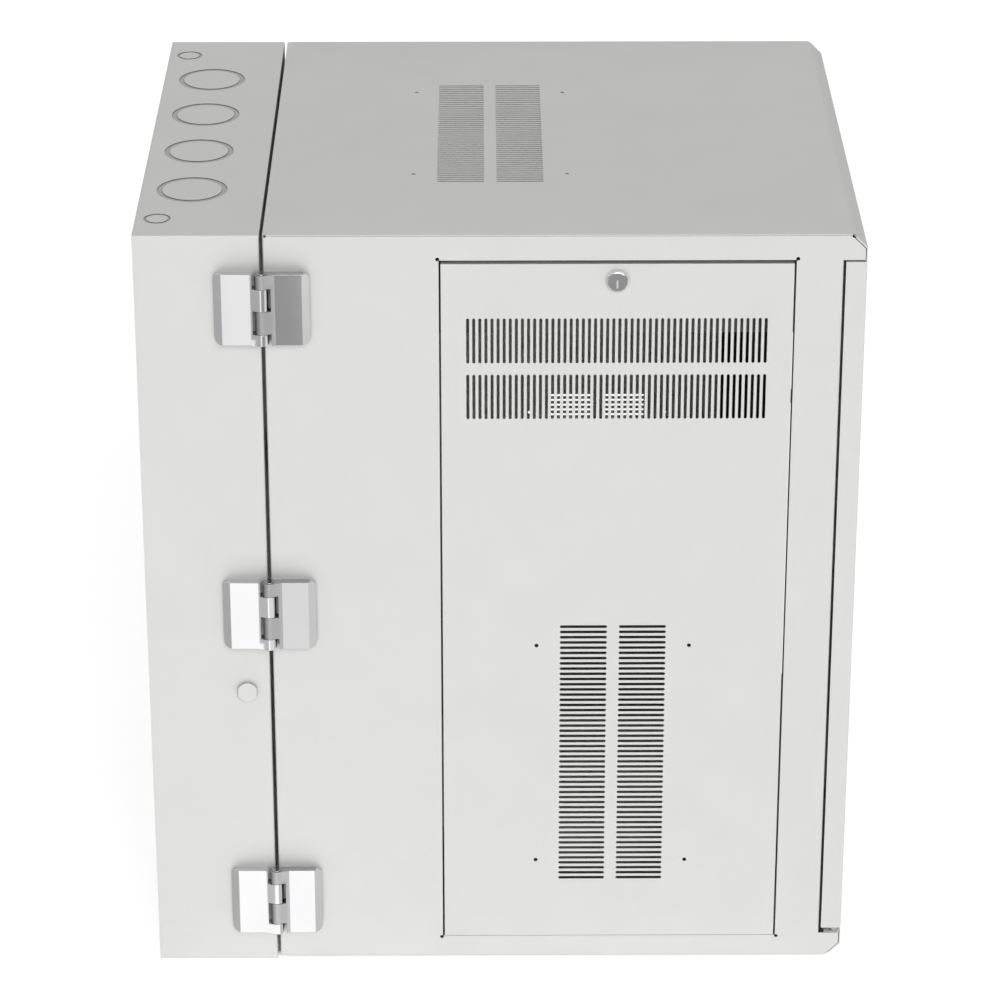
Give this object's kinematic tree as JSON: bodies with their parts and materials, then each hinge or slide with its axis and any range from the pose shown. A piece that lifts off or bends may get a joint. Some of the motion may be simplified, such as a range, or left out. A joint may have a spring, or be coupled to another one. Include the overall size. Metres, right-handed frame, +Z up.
{
  "type": "wall mount network cabinet",
  "caption": "Swing-out wall mount network cabinet: a wall section with knockouts, a hinged cabinet body with vented lift-off side panels, rack rails and a window door.",
  "frame": {"origin": "centre of the four wall bolts, in the plane of the wall", "axes": "+X to the cabinet's right as seen from the front, +Y into the wall, +Z up"},
  "size_m": [0.6273, 0.7395, 0.838],
  "materials": {
    "cabinet_paint": "light grey powder coat, satin",
    "hinge_chrome": "polished chrome on a zinc casting",
    "lock_chrome": "bright chrome",
    "pin_steel": "bright turned steel",
    "zinc_plate": "zinc plate",
    "rail_black": "black powder coat",
    "pin_brass": "turned brass",
    "washer_nylon": "moulded nylon",
    "window_pane": "tinted clear sheet",
    "gasket_rubber": "foam rubber strip"
  },
  "bodies": {
    "wall_section": {"wall_back_panel": "cabinet_paint", "wall_top_panel": "cabinet_paint", "wall_bottom_panel": "cabinet_paint", "wall_left_side": "cabinet_paint", "wall_right_side": "cabinet_paint", "lock_hole_plug": "cabinet_paint", "swing_lock_housing": "lock_chrome", "swing_lock_nut": "zinc_plate", "wall_hinge_screws": "zinc_plate", "hinge_washers": "washer_nylon", "hinge_wall_leaf_upper": "hinge_chrome", "hinge_wall_leaf_middle": "hinge_chrome", "hinge_wall_leaf_lower": "hinge_chrome", "hinge_pin_upper": "pin_steel", "hinge_pin_middle": "pin_steel", "hinge_pin_lower": "pin_steel"},
    "swing_lock": {"swing_lock_plug": "lock_chrome", "swing_lock_cam": "zinc_plate"},
    "cabinet_body": {"roof_panel": "cabinet_paint", "floor_panel": "cabinet_paint", "left_side_frame": "cabinet_paint", "right_side_frame": "cabinet_paint", "body_hinge_screws": "zinc_plate", "rail_left": "rail_black", "rail_right": "rail_black", "rail_support_upper_left": "rail_black", "rail_support_upper_right": "rail_black", "rail_support_lower_left": "rail_black", "rail_support_lower_right": "rail_black", "rail_screws": "zinc_plate", "door_pin_upper": "pin_brass", "door_pin_lower": "pin_brass", "swing_strike": "zinc_plate", "door_strike": "zinc_plate", "hinge_body_leaf_upper": "hinge_chrome", "hinge_body_leaf_middle": "hinge_chrome", "hinge_body_leaf_lower": "hinge_chrome"},
    "front_door": {"door_frame": "cabinet_paint", "door_window": "window_pane", "window_gasket": "gasket_rubber", "window_retainers": "zinc_plate", "door_lock_housing": "lock_chrome", "door_lock_nut": "zinc_plate"},
    "door_lock": {"door_lock_plug": "lock_chrome", "door_lock_cam": "zinc_plate"},
    "left_panel": {"left_side_panel": "cabinet_paint", "left_lock_housing": "lock_chrome", "left_lock_nut": "zinc_plate"},
    "left_lock": {"left_lock_plug": "lock_chrome", "left_lock_cam": "zinc_plate"},
    "right_panel": {"right_side_panel": "cabinet_paint", "right_lock_housing": "lock_chrome", "right_lock_nut": "zinc_plate"},
    "right_lock": {"right_lock_plug": "lock_chrome", "right_lock_cam": "zinc_plate"}
  },
  "joints": [
    {"name": "body_swing", "type": "hinge", "parent": "wall_section", "child": "cabinet_body", "pos_m": [-0.312, -0.1287, 0], "axis": [0, 0, -1], "range_deg": [0, 100]},
    {"name": "door_swing", "type": "hinge", "parent": "cabinet_body", "child": "front_door", "pos_m": [-0.2985, -0.729, 0], "axis": [0, 0, -1], "range_deg": [0, 120]},
    {"name": "left_panel_tilt", "type": "hinge", "parent": "cabinet_body", "child": "left_panel", "pos_m": [-0.305, -0.4856, -0.391], "axis": [0, -1, 0], "range_deg": [0, 15]},
    {"name": "right_panel_tilt", "type": "hinge", "parent": "cabinet_body", "child": "right_panel", "pos_m": [0.305, -0.4856, -0.391], "axis": [0, 1, 0], "range_deg": [0, 15]},
    {"name": "swing_lock_turn", "type": "hinge", "parent": "wall_section", "child": "swing_lock", "pos_m": [0.305, -0.1027, -0.0931], "axis": [-1, 0, 0], "range_deg": [0, 180]},
    {"name": "left_lock_turn", "type": "hinge", "parent": "left_panel", "child": "left_lock", "pos_m": [-0.305, -0.4856, 0.36955], "axis": [1, 0, 0], "range_deg": [0, 180]},
    {"name": "right_lock_turn", "type": "hinge", "parent": "right_panel", "child": "right_lock", "pos_m": [0.305, -0.4856, 0.36955], "axis": [-1, 0, 0], "range_deg": [0, 180]},
    {"name": "door_lock_turn", "type": "hinge", "parent": "front_door", "child": "door_lock", "pos_m": [0.251, -0.736, 0.0038], "axis": [0, -1, 0], "range_deg": [0, 90]}
  ]
}
